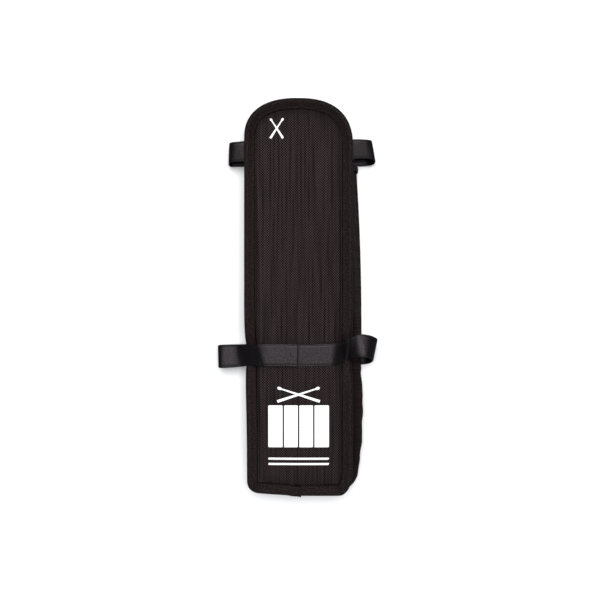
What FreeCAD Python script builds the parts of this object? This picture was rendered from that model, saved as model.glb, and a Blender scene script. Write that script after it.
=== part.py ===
import FreeCAD, Part
import math
import os

# Padded bag for a pair of marching drum sticks, lying on its back.
# +X is to the right, +Y towards the rounded top of the bag, +Z out of its front face.
# The origin is at the middle of the footprint, at the level of what the bag lies on.
# A foam-padded front panel runs the full length. A shorter gusseted pocket is sewn behind it,
# so that the top of the panel stands up as a lip behind which the stick butts show.
# Two webbing straps with hook and loop closures tie the bag to a drum.
# All lengths are in millimetres and all angles in degrees.

Vector = FreeCAD.Vector

# Cloth, tape, foam and webbing
cloth = 0.8
tape = 0.8
foam_front = 6.2
foam_back = 2.4
webbing = 1.8
webbing_width = 25.4
fastener = 1.0
print_film = 0.2
thread = 0.3
gap = 0.2

# Front panel
panel_width = 123.0
panel_length = 450.0
crown_length = 45.0
crown_exponent = 2.35
corner_left = 13.6
corner_right = 20.0
binding_face = 12.5
back_binding_face = 8.0

# Pocket behind the panel
mouth_y = 150.0
mouth_allowance = 30.0
pocket_depth_z = 19.8
pocket_bottom_y = -222.0
pocket_left_x = -57.0
pocket_right_mouth_x = 65.0
pocket_right_belly_x = 73.0
pocket_right_foot_x = 67.0
belly_y = -60.0
pocket_corner = 14.0
gusset_wall = 1.6
gusset_mid_bulge = 2.5

# Upper strap, a ring behind the lip
upper_strap_y = 166.3
upper_left_x = -80.0
upper_right_x = 86.0
upper_patch_low_x = -30.0
upper_patch_high_x = 26.0

# Lower strap, round the whole bag
lower_strap_y = -65.0
lower_left_x = -90.2
lower_right_x = 90.6
lower_pivot_x = -63.0
tail_end_x = -0.6
under_tail_end_x = -44.0
pivot_gap = 2.4

# Heights, from what the bag lies on up to the printed front face
back_leaf_z = webbing + gap
back_skin_z = back_leaf_z + tape
back_foam_z = back_skin_z + cloth
back_lining_z = back_foam_z + foam_back
back_inner_leaf_z = back_lining_z + cloth
pocket_floor_z = back_inner_leaf_z + tape
front_leaf_z = pocket_floor_z + pocket_depth_z
front_lining_z = front_leaf_z + tape
front_foam_z = front_lining_z + cloth
front_skin_z = front_foam_z + foam_front
front_face_z = front_skin_z + cloth
front_top_z = front_face_z + tape


# ---------- outlines ----------

def crown(half_width, base_y, height, steps=24):
    """The rounded top of the front panel, a superellipse from left to right."""
    points = []
    for i in range(steps + 1):
        angle = math.pi * (1 - i / steps)
        across = math.copysign(abs(math.cos(angle)) ** (2 / crown_exponent), math.cos(angle))
        up = abs(math.sin(angle)) ** (2 / crown_exponent)
        points.append(Vector(half_width * across, base_y + height * up, 0))
    curve = Part.BSplineCurve()
    curve.interpolate(points)
    return curve.toShape()


def quarter(centre, radius, start):
    """A quarter arc that turns clockwise from the angle start."""
    def at(angle):
        a = math.radians(angle)
        return centre + Vector(radius * math.cos(a), radius * math.sin(a), 0)

    return Part.Arc(at(start), at(start - 45), at(start - 90)).toShape()


def line(a, b):
    return Part.LineSegment(a, b).toShape()


def panel_face(inset):
    """The front panel's outline, brought in by inset."""
    side = panel_width / 2 - inset
    foot = -panel_length / 2 + inset
    crown_base = panel_length / 2 - crown_length
    left_r = corner_left - min(inset, corner_left - 1)
    right_r = corner_right - min(inset, corner_right - 1)
    edges = [
        line(Vector(-side, foot + left_r, 0), Vector(-side, crown_base, 0)),
        crown(side, crown_base, crown_length - inset),
        line(Vector(side, crown_base, 0), Vector(side, foot + right_r, 0)),
        quarter(Vector(side - right_r, foot + right_r, 0), right_r, 0),
        line(Vector(side - right_r, foot, 0), Vector(-side + left_r, foot, 0)),
        quarter(Vector(-side + left_r, foot + left_r, 0), left_r, -90),
    ]
    return Part.Face(Part.Wire(edges))


def pocket_wire(z, left, right_mouth, right_belly, right_foot, foot):
    """An outline of the pocket at height z, run on past its mouth: straight left, bellied right."""
    r = pocket_corner
    top = mouth_y + mouth_allowance
    start = Vector(right_mouth, top, z)
    end = Vector(right_foot, foot + r, z)
    if right_belly > max(right_mouth, right_foot):
        side = Part.Arc(start, Vector(right_belly, belly_y, z), end).toShape()
    else:
        side = line(start, end)
    left_corner = quarter(Vector(left + r, foot + r, z), r, -90)
    right_corner = quarter(Vector(right_foot - r, foot + r, z), r, 0)
    edges = [
        line(Vector(left, foot + r, z), Vector(left, top, z)),
        line(Vector(left, top, z), start),
        side,
        right_corner,
        line(Vector(right_foot - r, foot, z), Vector(left + r, foot, z)),
        left_corner,
    ]
    return Part.Wire(edges)


def back_wire(inset, z, bulge=0.0):
    return pocket_wire(
        z,
        pocket_left_x + inset,
        pocket_right_mouth_x - inset + bulge,
        pocket_right_belly_x - inset + bulge,
        pocket_right_foot_x - inset + bulge,
        pocket_bottom_y + inset,
    )


def seam_wire(inset, z):
    """The line where the gusset meets the underside of the front panel."""
    side = panel_width / 2 - 1 - inset
    return pocket_wire(z, -side, side, side, side, pocket_bottom_y + inset)


def slab(face, low_z, high_z):
    solid = face.extrude(Vector(0, 0, high_z - low_z))
    solid.translate(Vector(0, 0, low_z))
    return solid


def block(x0, y0, z0, x1, y1, z1):
    return Part.makeBox(x1 - x0, y1 - y0, z1 - z0, Vector(x0, y0, z0))


# ---------- front panel ----------

def front_skin():
    return slab(panel_face(tape), front_skin_z, front_face_z)


def front_foam():
    return slab(panel_face(tape), front_foam_z, front_skin_z)


def front_lining():
    return slab(panel_face(tape), front_lining_z, front_foam_z)


def front_binding():
    """Tape folded over the edge of the panel, with a leaf on each face."""
    body = slab(panel_face(0), front_leaf_z, front_top_z)
    layers = slab(panel_face(tape), front_lining_z, front_face_z)
    window = slab(panel_face(binding_face), front_leaf_z - 1, front_top_z + 1)
    return body.cut(layers).cut(window)


# ---------- pocket ----------

def below_mouth(shape, reach=0.0):
    """The part of a shape on the pocket's side of its mouth."""
    return shape.common(block(-120, pocket_bottom_y - 10, -10, 120, mouth_y + reach, 60))


def back_layer(low_z, high_z):
    return below_mouth(slab(Part.Face(back_wire(tape, 0)), low_z, high_z))


def gusset_tube(inset):
    """The solid enclosed by the gusset, from the back panel up to the front panel."""
    middle = (pocket_floor_z + front_leaf_z) / 2
    wires = [
        back_wire(inset, pocket_floor_z),
        back_wire(inset, middle, gusset_mid_bulge),
        seam_wire(inset, front_leaf_z),
    ]
    return Part.makeLoft(wires, True, True)


def gusset():
    """One strip up the left side, round the bottom and up the right side."""
    inner = gusset_tube(gusset_wall)
    return below_mouth(gusset_tube(0).cut(inner))


def back_seam_binding():
    """Tape round the sides and bottom of the back panel, open at the mouth."""
    body = slab(Part.Face(back_wire(0, 0)), back_leaf_z, pocket_floor_z)
    layers = slab(Part.Face(back_wire(tape, 0)), back_skin_z, back_inner_leaf_z)
    window = slab(Part.Face(back_wire(back_binding_face, 0)), back_leaf_z - 1, pocket_floor_z + 1)
    return below_mouth(body.cut(layers).cut(window), -back_binding_face)


def mouth_binding():
    """Tape over the pocket's top edge: up one gusset end, across the back and up the other."""
    edge = block(-120, mouth_y - back_binding_face, -10, 120, mouth_y + tape, 60)
    wrap = gusset_tube(-tape).cut(gusset_tube(gusset_wall + tape))
    ends = wrap.common(edge).cut(gusset())
    across = slab(Part.Face(back_wire(0, 0)), back_leaf_z, pocket_floor_z).common(edge)
    layers = back_layer(back_skin_z, back_inner_leaf_z)
    return Part.makeCompound(across.cut(layers).Solids + ends.Solids)


# ---------- webbing ----------

def webbing_strip(path, centre_y, width=webbing_width, thickness=webbing):
    """A flat strip that follows path, points (x, z) at the middle of its thickness."""
    half = thickness / 2
    left, right = [], []
    for i, (x, z) in enumerate(path):
        before = path[max(i - 1, 0)]
        after = path[min(i + 1, len(path) - 1)]
        d1 = Vector(x - before[0], 0, z - before[1])
        d2 = Vector(after[0] - x, 0, after[1] - z)
        d1 = d1.normalize() if d1.Length else d2.normalize()
        d2 = d2.normalize() if d2.Length else Vector(d1)
        n1 = Vector(-d1.z, 0, d1.x)
        n2 = Vector(-d2.z, 0, d2.x)
        mitre = (n1 + n2).normalize()
        reach = half / max(mitre.dot(n1), 0.5)
        here = Vector(x, centre_y - width / 2, z)
        left.append(here + mitre * reach)
        right.append(here - mitre * reach)
    outline = left + right[::-1] + left[:1]
    return Part.Face(Part.makePolygon(outline)).extrude(Vector(0, width, 0))


def arc_points(cx, cz, radius, start, end, steps):
    """Points (x, z) round a bend."""
    points = []
    for i in range(steps + 1):
        a = math.radians(start + (end - start) * i / steps)
        points.append((cx + radius * math.cos(a), cz + radius * math.sin(a)))
    return points


upper_front_z = front_leaf_z - webbing / 2
upper_tail_z = webbing / 2
upper_inner_z = webbing + 2 * fastener + webbing / 2


def upper_strap():
    """Across the back of the lip, down at both sides, and in under the lip from the right."""
    bend = 7.0
    side_x = upper_left_x
    left = [(side_x, upper_tail_z + pivot_gap)]
    left += arc_points(side_x + bend, upper_front_z - bend, bend, 180, 90, 4)
    right = arc_points(upper_right_x - bend, upper_front_z - bend, bend, 90, 0, 4)
    right += arc_points(upper_right_x - bend, upper_tail_z + bend, bend, 0, -90, 4)
    inner = [
        (upper_patch_high_x + 22, upper_tail_z),
        (upper_patch_high_x + 8, upper_inner_z),
        (upper_patch_low_x, upper_inner_z),
    ]
    return webbing_strip(left + right + inner, upper_strap_y)


def upper_strap_tail():
    """The outer arm of the closure, creased at the left and lying flat."""
    path = [(upper_left_x + pivot_gap, upper_tail_z), (upper_patch_high_x, upper_tail_z)]
    return webbing_strip(path, upper_strap_y)


def patch(low_x, high_x, low_z, centre_y):
    half = webbing_width / 2 - 1.5
    return block(low_x, centre_y - half, low_z, high_x, centre_y + half, low_z + fastener)


# The front stack of the lower strap, from the panel's binding up
lower_under_z = front_top_z + gap + webbing / 2
lower_loop_z = lower_under_z + webbing / 2
lower_hook_z = lower_loop_z + fastener
lower_tail_z = lower_hook_z + fastener + webbing / 2
lower_pivot_z = front_top_z + gap + webbing / 2 + 0.8


def lower_strap():
    """From the closure over the front, round the right in a loose loop, under the back,
    turned over in a soft roll at the left and up to the edge of the panel."""
    floor_z = webbing / 2
    fold_r = 8.8
    front = [(under_tail_end_x, lower_under_z), (60.0, lower_under_z), (65.0, lower_under_z - 0.6)]
    crest = [(71.0, 32.4), (77.0, 31.0), (83.0, 31.4)]
    loop = arc_points(lower_right_x - 8.0, 23.4, 8.0, 75, 0, 4)
    loop += arc_points(lower_right_x - 12.0, floor_z + 12.0, 12.0, 0, -90, 5)
    fold = arc_points(lower_left_x + fold_r, floor_z + fold_r, fold_r, 270, 90, 6)
    rise = [(-76.0, 19.0), (-72.0, 20.9), (-68.4, 25.0), (-66.0, 30.4)]
    to_pivot = Vector(lower_pivot_x - rise[-1][0], 0, lower_pivot_z - rise[-1][1]).normalize()
    last = (lower_pivot_x - to_pivot.x * pivot_gap, lower_pivot_z - to_pivot.z * pivot_gap)
    return webbing_strip(front + crest + loop + fold + rise + [last], lower_strap_y)


def lower_strap_tail():
    """The free end that crosses the front from the left and closes on the under tail."""
    path = [
        (lower_pivot_x + pivot_gap, lower_pivot_z + 0.5),
        (under_tail_end_x - 2.0, lower_tail_z),
        (tail_end_x, lower_tail_z),
    ]
    return webbing_strip(path, lower_strap_y)


# ---------- stitching ----------

def stitch(x, y, angle, top_z, length=2.6):
    """One flat stitch on a face that looks down."""
    bar = Part.makeBox(length, 0.7, thread, Vector(-length / 2, -0.35, -thread))
    bar.rotate(Vector(0, 0, 0), Vector(0, 0, 1), angle)
    bar.translate(Vector(x, y, top_z))
    return bar


def stitch_row(a, b, top_z, pitch=4.0):
    run = Vector(b[0] - a[0], b[1] - a[1], 0)
    count = max(int(run.Length / pitch), 1)
    angle = math.degrees(math.atan2(run.y, run.x))
    row = []
    for i in range(count):
        at = (i + 0.5) / count
        row.append(stitch(a[0] + run.x * at, a[1] + run.y * at, angle, top_z))
    return row


def box_cross(centre_x, centre_y, length, width, top_z):
    """A sewn rectangle, with the cross kept clear of its corners."""
    x0, x1 = centre_x - length / 2, centre_x + length / 2
    y0, y1 = centre_y - width / 2, centre_y + width / 2
    keep = 3.2
    stitches = []
    for y in (y0, y1):
        stitches += stitch_row((x0 + 1, y), (x1 - 1, y), top_z)
    for x in (x0, x1):
        stitches += stitch_row((x, y0 + 1.6), (x, y1 - 1.6), top_z)
    lean = keep * length / width
    for sign in (-1, 1):
        for side in (-1, 1):
            far = (centre_x + side * (length / 2 - lean), centre_y + sign * side * (width / 2 - keep))
            near = (centre_x + side * lean / 2, centre_y + sign * side * keep / 2)
            stitches += stitch_row(near, far, top_z)
    return Part.makeCompound(stitches)


def upper_stitching():
    boxes = [box_cross(x, upper_strap_y, 26, 17, front_leaf_z - webbing) for x in (-34, 34)]
    return Part.makeCompound(boxes)


def lower_stitching():
    """Sewn through the webbing into the back panel: it shows on the lining in the pocket."""
    boxes = [box_cross(x, lower_strap_y, 26, 17, pocket_floor_z - tape + thread) for x in (-30, 38)]
    return Part.makeCompound(boxes)


# ---------- printed marks ----------

def stick_face(centre_x, centre_y, length, width, lean):
    """A drum stick seen from the side: a tapered shaft with a round tip."""
    half = length / 2
    shaft = Part.makePolygon([
        Vector(-width / 2, -half, 0), Vector(width / 2, -half, 0),
        Vector(width / 4, half * 0.86, 0), Vector(-width / 4, half * 0.86, 0),
        Vector(-width / 2, -half, 0),
    ])
    tip = Part.Wire(Part.makeCircle(width * 0.55, Vector(0, half * 0.9, 0)))
    stick = slab(Part.Face(shaft), 0, print_film).fuse(slab(Part.Face(tip), 0, print_film))
    stick.rotate(Vector(0, 0, 0), Vector(0, 0, 1), lean)
    stick.translate(Vector(centre_x, centre_y, front_face_z))
    return stick


def crossed_sticks(x, y, length, width, lean):
    pair = stick_face(x, y, length, width, lean).fuse(stick_face(x, y, length, width, -lean))
    return pair.removeSplitter()


def upper_print():
    """A small pair of crossed sticks near the top."""
    return crossed_sticks(-24.5, 189.0, 27.0, 2.6, 32)


def lower_print():
    """A plain drum seen from the side, parted by three upright gaps, with crossed sticks over
    it and a double rule below."""
    low_y, high_y, half, gap_half = -168.0, -121.0, 34.0, 0.8
    top_z = front_face_z + print_film
    edges = [-half, -half / 2, 0.0, half / 2, half]
    shapes = []
    for i in range(4):
        left = edges[i] + (gap_half if i > 0 else 0)
        right = edges[i + 1] - (gap_half if i < 3 else 0)
        shapes.append(block(left, low_y, front_face_z, right, high_y, top_z))
    rule_y = -181.0
    for y in (rule_y, rule_y - 6.0):
        shapes.append(block(-half, y - 1.2, front_face_z, half, y + 1.2, top_z))
    shapes += crossed_sticks(0, -109.0, 50.0, 3.2, 72).Solids
    return Part.makeCompound(shapes)


nodes = {
    "front_panel_skin": front_skin(),
    "front_panel_foam": front_foam(),
    "front_panel_lining": front_lining(),
    "front_binding": front_binding(),
    "upper_print": upper_print(),
    "lower_print": lower_print(),
    "back_panel_skin": back_layer(back_skin_z, back_foam_z),
    "back_panel_foam": back_layer(back_foam_z, back_lining_z),
    "back_panel_lining": back_layer(back_lining_z, back_inner_leaf_z),
    "back_seam_binding": back_seam_binding(),
    "gusset": gusset(),
    "mouth_binding": mouth_binding(),
    "upper_strap": upper_strap(),
    "upper_strap_stitching": upper_stitching(),
    "upper_loop_patch": patch(upper_patch_low_x, upper_patch_high_x, webbing + fastener, upper_strap_y),
    "upper_strap_tail": upper_strap_tail(),
    "upper_hook_patch": patch(upper_patch_low_x, upper_patch_high_x, webbing, upper_strap_y),
    "lower_strap": lower_strap(),
    "lower_strap_stitching": lower_stitching(),
    "lower_loop_patch": patch(under_tail_end_x, tail_end_x, lower_loop_z, lower_strap_y),
    "lower_strap_tail": lower_strap_tail(),
    "lower_hook_patch": patch(under_tail_end_x, tail_end_x, lower_hook_z, lower_strap_y),
}

os.makedirs("parts", exist_ok=True)
for name, shape in nodes.items():
    shape.exportStep("parts/" + name + ".step")
    box = shape.BoundBox
    print(
        f"{name:24s} solids {len(shape.Solids):3d} valid {shape.isValid()} "
        f"volume {shape.Volume:10.1f}  x {box.XMin:7.1f} {box.XMax:7.1f}"
        f"  y {box.YMin:7.1f} {box.YMax:7.1f}  z {box.ZMin:5.1f} {box.ZMax:5.1f}"
    )
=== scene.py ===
import math

import bmesh
import bpy
import numpy as np
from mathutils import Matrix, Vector, geometry, kdtree, noise
from mathutils.bvhtree import BVHTree


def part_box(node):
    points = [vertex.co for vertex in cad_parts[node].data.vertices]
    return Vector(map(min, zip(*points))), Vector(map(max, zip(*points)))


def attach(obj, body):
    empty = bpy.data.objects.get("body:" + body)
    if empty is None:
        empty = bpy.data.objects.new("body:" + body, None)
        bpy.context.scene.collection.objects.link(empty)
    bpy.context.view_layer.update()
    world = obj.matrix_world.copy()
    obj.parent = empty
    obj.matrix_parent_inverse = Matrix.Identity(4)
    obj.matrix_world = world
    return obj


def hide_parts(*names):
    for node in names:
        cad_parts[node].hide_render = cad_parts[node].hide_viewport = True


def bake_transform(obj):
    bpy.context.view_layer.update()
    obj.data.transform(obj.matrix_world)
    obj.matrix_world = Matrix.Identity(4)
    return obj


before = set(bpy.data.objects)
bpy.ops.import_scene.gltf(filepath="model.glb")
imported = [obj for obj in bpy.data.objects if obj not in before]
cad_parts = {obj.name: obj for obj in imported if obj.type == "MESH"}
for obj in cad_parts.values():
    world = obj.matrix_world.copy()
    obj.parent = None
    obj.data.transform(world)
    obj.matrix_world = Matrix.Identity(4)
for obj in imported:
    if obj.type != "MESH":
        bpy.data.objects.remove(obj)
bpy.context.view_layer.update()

# A padded drum stick bag lying on its back. +Y is towards its rounded top, +Z out of its face.
mm = 0.001

# ---------- sizes, from the frame ----------

panel_low, panel_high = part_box("front_binding")
back_low, back_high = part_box("back_panel_skin")
lining_low, lining_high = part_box("back_panel_lining")
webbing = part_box("upper_strap_tail")[1].z  # its thickness
upper_low, upper_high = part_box("upper_strap")
lower_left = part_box("lower_strap")[0].x
patch_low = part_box("lower_loop_patch")[0]
upper_patch_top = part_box("upper_loop_patch")[1].z
tail_low, tail_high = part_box("lower_strap_tail")
webbing_width = tail_high.y - tail_low.y
lower_y = (tail_low.y + tail_high.y) / 2
upper_y = (upper_low.y + upper_high.y) / 2
mouth_y = back_high.y

# ---------- sizes, judged from the photo ----------

cloth = 0.8 * mm  # the room that a layer of cloth takes
sheet_thickness = 0.6 * mm  # how thick it is made
tape = 0.8 * mm  # the thickness of the binding tape
tape_face = 12.8 * mm  # how far in the front tape reaches
edge_middle = panel_low.z + 3.4 * mm  # the middle of the bound edge's thickness
edge_half = 2.7 * mm
puff = 6.0 * mm  # how far the foam lifts the skin above the tape's inner edge
skin_start = 8.5 * mm  # how far in the skin begins, under the tape
foot_lean = 3.0 * mm  # how far the panel's left edge has leaned in at the foot
mesh_step = 2.4 * mm  # between the pad's points
# How far the cloth is pulled, pressed or hangs down, in mm.
left_pull, right_pull = 11.4, 15.4
strap_press = 1.1
left_droop = 1.2
lip_hang = 1.6
foot_hang = 2.4
floor_drop = 1.7


def run_along(points):
    """The length along a line of points, at each of them."""
    steps = np.linalg.norm(np.diff(points, axis=0), axis=1)
    return np.concatenate([[0], np.cumsum(steps)])


def points_at(at, run, points):
    """The points at the lengths at along a line. run says at which length each of its own is."""
    return np.stack([np.interp(at, run, column) for column in points.T], 1)


def smooth(t):
    """From 0 to 1 as t does, with no kink at either end."""
    t = np.clip(t, 0.0, 1.0)
    return t * t * (3 - 2 * t)


def bell(t):
    """1 where t is 0, falling away on both sides of it."""
    return np.exp(-t * t)


def ramp(value, start, length):
    """0 up to start and 1 from start + length on, smooth between. Both are in mm."""
    return smooth((value - start * mm) / (length * mm))


def hump(value, centre, width):
    """1 at centre, falling away on both sides of it. centre and width are in mm."""
    return bell((value - centre * mm) / (width * mm))


def settle(x, y):
    """How far the front panel drops at (x, y): the lower strap pulls its edges down and presses
    its middle, and the left edge, the lip and the foot hang a little."""
    at_strap = hump(y - lower_y, 0, 24)
    left = ramp(-x, 34, 28)
    right = ramp(x, 36, 26)
    droop = ramp(-x, 30, 32) * ramp(-y, -20, 120)
    lip = ramp(y, 175, 50)
    press = hump(y - lower_y, 0, 17) * (1 - left) * (1 - right)
    right_strap = hump(y - lower_y, 3, 28)
    foot = ramp(-y, 145, 75)
    return (-left_pull * left * at_strap - right_pull * right * right_strap
            - strap_press * press - left_droop * droop - lip_hang * lip - foot_hang * foot) * mm


def pinch(x, y):
    """How far the front panel's edges are drawn in under the lower strap."""
    return (2.2 * ramp(-x, 40, 20) - 1.6 * ramp(x, 42, 20)) * mm * hump(y - lower_y, 0, 13)


def bend_panel(points):
    """Moves flat points of the front panel to where its pull and sag put them."""
    p = np.array(points, float)
    x, y = p[:, 0].copy(), p[:, 1].copy()
    p[:, 0] += pinch(x, y)
    p[:, 2] += settle(x, y)
    return p


def floor_sag(y):
    """How far the back panel drops to the floor on both sides of the strap under it."""
    clear = np.maximum(np.abs(y - lower_y) - 14 * mm, 0)
    return -floor_drop * mm * (1 - hump(clear, 0, 20))


# ---------- meshes ----------

def placed(name, data):
    """A new object in the scene."""
    obj = bpy.data.objects.new(name, data)
    bpy.context.scene.collection.objects.link(obj)
    return obj


def new_object(name, verts, faces, material, uvs):
    """A smooth mesh piece. uvs holds one (u, v) per vertex, in metres along the cloth."""
    mesh = bpy.data.meshes.new(name)
    mesh.from_pydata([tuple(v) for v in verts], [], faces)
    mesh.materials.append(material)
    mesh.shade_smooth()
    layer = mesh.uv_layers.new(name="UVMap")
    corner_verts = np.zeros(len(mesh.loops), np.int32)
    mesh.loops.foreach_get("vertex_index", corner_verts)
    layer.data.foreach_set("uv", np.asarray(uvs, np.float32)[corner_verts].ravel())
    return placed(name, mesh)


def seat(obj, body, slot, *nodes):
    """The piece rides on a body and stands for CAD nodes, which it hides. slot is not used."""
    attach(obj, body)
    if nodes:
        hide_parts(*nodes)
    return obj


def grid_faces(rows, columns, wrap_columns=False):
    """The faces between rows of points."""
    faces = []
    for i in range(rows - 1):
        for j in range(columns if wrap_columns else columns - 1):
            a, b = i * columns + j, i * columns + (j + 1) % columns
            faces.append((a, b, b + columns, a + columns))
    return faces


def tube_faces(rows, columns):
    """The faces of a tube of rows of points, with its two ends closed."""
    ends = [tuple(range(columns)), tuple(range((rows - 1) * columns, rows * columns))[::-1]]
    return grid_faces(rows, columns, True) + ends


def block_faces(faces, count, ring):
    """The faces of a closed block. Its top has the given faces, its bottom has the same count
    of points and faces again, and ring lists the points round the top's rim."""
    under = [tuple(i + count for i in f[::-1]) for f in faces]
    sides = [(a + count, b + count, b, a) for a, b in zip(ring, ring[1:] + ring[:1])]
    return faces + under + sides


def points_of(obj):
    """A mesh's points."""
    return np.array([v.co for v in obj.data.vertices])


def put_points(obj, points):
    """Moves a mesh's points."""
    obj.data.vertices.foreach_set("co", np.asarray(points, np.float32).ravel())
    obj.data.update()


def rod_faces(first, rings, size):
    """The faces of a closed rod whose rings of points start at the index first."""
    faces = [tuple(first + size * (rings - 1) + m for m in range(size)),
             tuple(first + m for m in reversed(range(size)))]
    for base in range(first, first + size * (rings - 1), size):
        for m in range(size):
            n = (m + 1) % size
            faces.append((base + m, base + n, base + size + n, base + size + m))
    return faces


def fix_normals(obj):
    """Turns the faces of a closed piece outward."""
    work = bmesh.new()
    work.from_mesh(obj.data)
    bmesh.ops.recalc_face_normals(work, faces=work.faces)
    work.to_mesh(obj.data)
    work.free()
    return obj


def tree_through(points):
    """A search tree of points on the plane."""
    tree = kdtree.KDTree(len(points))
    for i, p in enumerate(points):
        tree.insert((p[0], p[1], 0), i)
    tree.balance()
    return tree


def raise_above_floor(obj, low):
    """Keeps a piece from hanging below a height."""
    points = points_of(obj)
    points[:, 2] = np.maximum(points[:, 2], low)
    put_points(obj, points)


def place_back(obj):
    """Lets a flat-made piece of the pocket's back hang beside the strap under it."""
    points = points_of(obj)
    points[:, 2] += floor_sag(points[:, 1])
    put_points(obj, points)
    return obj


def modified(obj, kind, **settings):
    """Puts the mesh that a modifier makes in place of the piece's own."""
    modifier = obj.modifiers.new(kind.title(), kind)
    for key, value in settings.items():
        setattr(modifier, key, value)
    graph = bpy.context.evaluated_depsgraph_get()
    mesh = bpy.data.meshes.new_from_object(obj.evaluated_get(graph), depsgraph=graph)
    obj.modifiers.clear()
    obj.data = mesh
    return obj


def subdivide(obj):
    return modified(obj, "SUBSURF", levels=1, render_levels=1)


def thicken(sheet, thickness, side):
    """Gives a sheet its thickness, above it where side is 1 and below it where side is -1."""
    return modified(sheet, "SOLIDIFY", thickness=thickness, offset=side)


def bend(obj):
    """Moves a flat-made piece of the front panel by bend_panel."""
    put_points(obj, bend_panel(points_of(obj)))


def spline(points, step):
    """Evenly spaced points and the length along them, on a smooth curve through the given ones."""
    p = np.array([points[0], *points, points[-1]], float)
    p[0], p[-1] = 2 * p[1] - p[2], 2 * p[-2] - p[-3]
    fine = []
    for i in range(1, len(p) - 2):
        t = np.linspace(0, 1, 24, endpoint=False)[:, None]
        a, b, c, d = p[i - 1], p[i], p[i + 1], p[i + 2]
        fine.append(0.5 * (2 * b + (c - a) * t + (2 * a - 5 * b + 4 * c - d) * t**2
                           + (3 * b - a - 3 * c + d) * t**3))
    fine = np.vstack([*fine, p[-2:-1]])
    run = run_along(fine[:, :3])
    count = max(int(run[-1] / step), 2)
    at = np.linspace(0, run[-1], count + 1)
    return points_at(at, run, fine), at


# ---------- outlines ----------

def corner(centre, radii, exponent, start, steps=24):
    """A quarter of a superellipse, counter-clockwise from the angle start."""
    points = []
    for i in range(steps):
        a = math.radians(start + 90 * i / steps)
        c, s = math.cos(a), math.sin(a)
        points.append((
            centre[0] + radii[0] * math.copysign(abs(c) ** (2 / exponent), c),
            centre[1] + radii[1] * math.copysign(abs(s) ** (2 / exponent), s),
        ))
    return points


def left_edge(y, inset=0.0):
    """Where the panel's left edge stands at y: it leans in a little towards the foot."""
    return panel_low.x + inset + foot_lean * ramp(-y, 10, 170)


def panel_outline(step):
    """The front panel's edge, counter-clockwise from the lap at the foot, evenly spaced."""
    left, right = panel_low.x, panel_high.x
    foot, top = panel_low.y, panel_high.y
    crown_x = -1.7 * mm
    lap_x = -3.2 * mm
    foot_right, foot_left = (15.8 * mm, 28.0 * mm), (18.0 * mm, 15.8 * mm)
    crown_right, crown_left = (right - crown_x, 56.5 * mm), (crown_x - left, 45.2 * mm)
    points = [(lap_x, foot)]
    points += corner((right - foot_right[0], foot + foot_right[1]), foot_right, 2.0, -90)
    points += corner((crown_x, top - crown_right[1]), crown_right, 2.5, 0)
    points += corner((crown_x, top - crown_left[1]), crown_left, 2.35, 90)
    for y in np.linspace(top - crown_left[1], foot + foot_left[1], 20, endpoint=False):
        points.append((left_edge(y), y))
    points += corner((left + foot_lean + foot_left[0], foot + foot_left[1]), foot_left, 2.6, 180)
    points.append((lap_x, foot))
    rise = 2.6 * mm
    points = [(x, y + rise * ramp(-x, 0, 45) * ramp(-y, 190, 25)) for x, y in points]
    return resample(points, step)


def resample(points, step):
    """Points about step apart along a flat line, and the length along it at each."""
    p = np.array(points, float)
    keep = np.concatenate([[True], np.linalg.norm(np.diff(p, axis=0), axis=1) > 1e-7])
    p = p[keep]
    run = run_along(p)
    count = int(round(run[-1] / step))
    at = np.linspace(0, run[-1], count + 1)
    return points_at(at, run, p), at


def turned_left(d):
    """Unit vectors at right angles to those given, on their left."""
    n = np.stack([-d[:, 1], d[:, 0]], 1)
    return n / np.maximum(np.linalg.norm(n, axis=1), 1e-12)[:, None]


def inward(points, closed=True):
    """The unit normal to the left of each point's direction, smoothed over its neighbours."""
    if closed:
        ahead, behind = np.roll(points, -2, 0), np.roll(points, 2, 0)
    else:
        ahead = np.vstack([points[1:], points[-1:]])
        behind = np.vstack([points[:1], points[:-1]])
    return turned_left(ahead - behind)


edge_step = 2.0 * mm
edge_loop = panel_outline(edge_step)[0][:-1]
edge_normals = inward(edge_loop)
edge_tree = tree_through(edge_loop)


def inset_of(x, y):
    """How far a point of the panel lies in from the panel's edge."""
    found, index, _ = edge_tree.find((x, y, 0))
    n = edge_normals[index]
    return float((x - found.x) * n[0] + (y - found.y) * n[1])


def ripple(x, y, size, seed):
    """Slow unevenness between -1 and 1. size is in mm."""
    return noise.noise(Vector((x / (size * mm), y / (size * mm), seed)))


def bead(inset, half, radius):
    """Half the thickness of a folded edge, which is round as far in as radius."""
    return half * math.sqrt(max(1 - (1 - min(max(inset / radius, 0), 1)) ** 2, 0))


def tape_top(inset):
    """Height of the tape's outer face over the middle of the panel's edge: a roll that stands
    highest near the outside and is sewn down at its inner edge."""
    roll = 1.1 * mm * hump(inset, 3.2, 3.2)
    roll_end = 3.4 * mm
    sewn = 1.9 * mm * smooth((inset - roll_end) / (tape_face - roll_end))
    return bead(inset, edge_half, 2.4 * mm) + roll - sewn


def crown_drop(y, inset):
    """How much further the tape slopes down to its inner edge round the top of the panel."""
    return 1.7 * mm * ramp(y, 140, 60) * ramp(inset, 3, 9.5)


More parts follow.
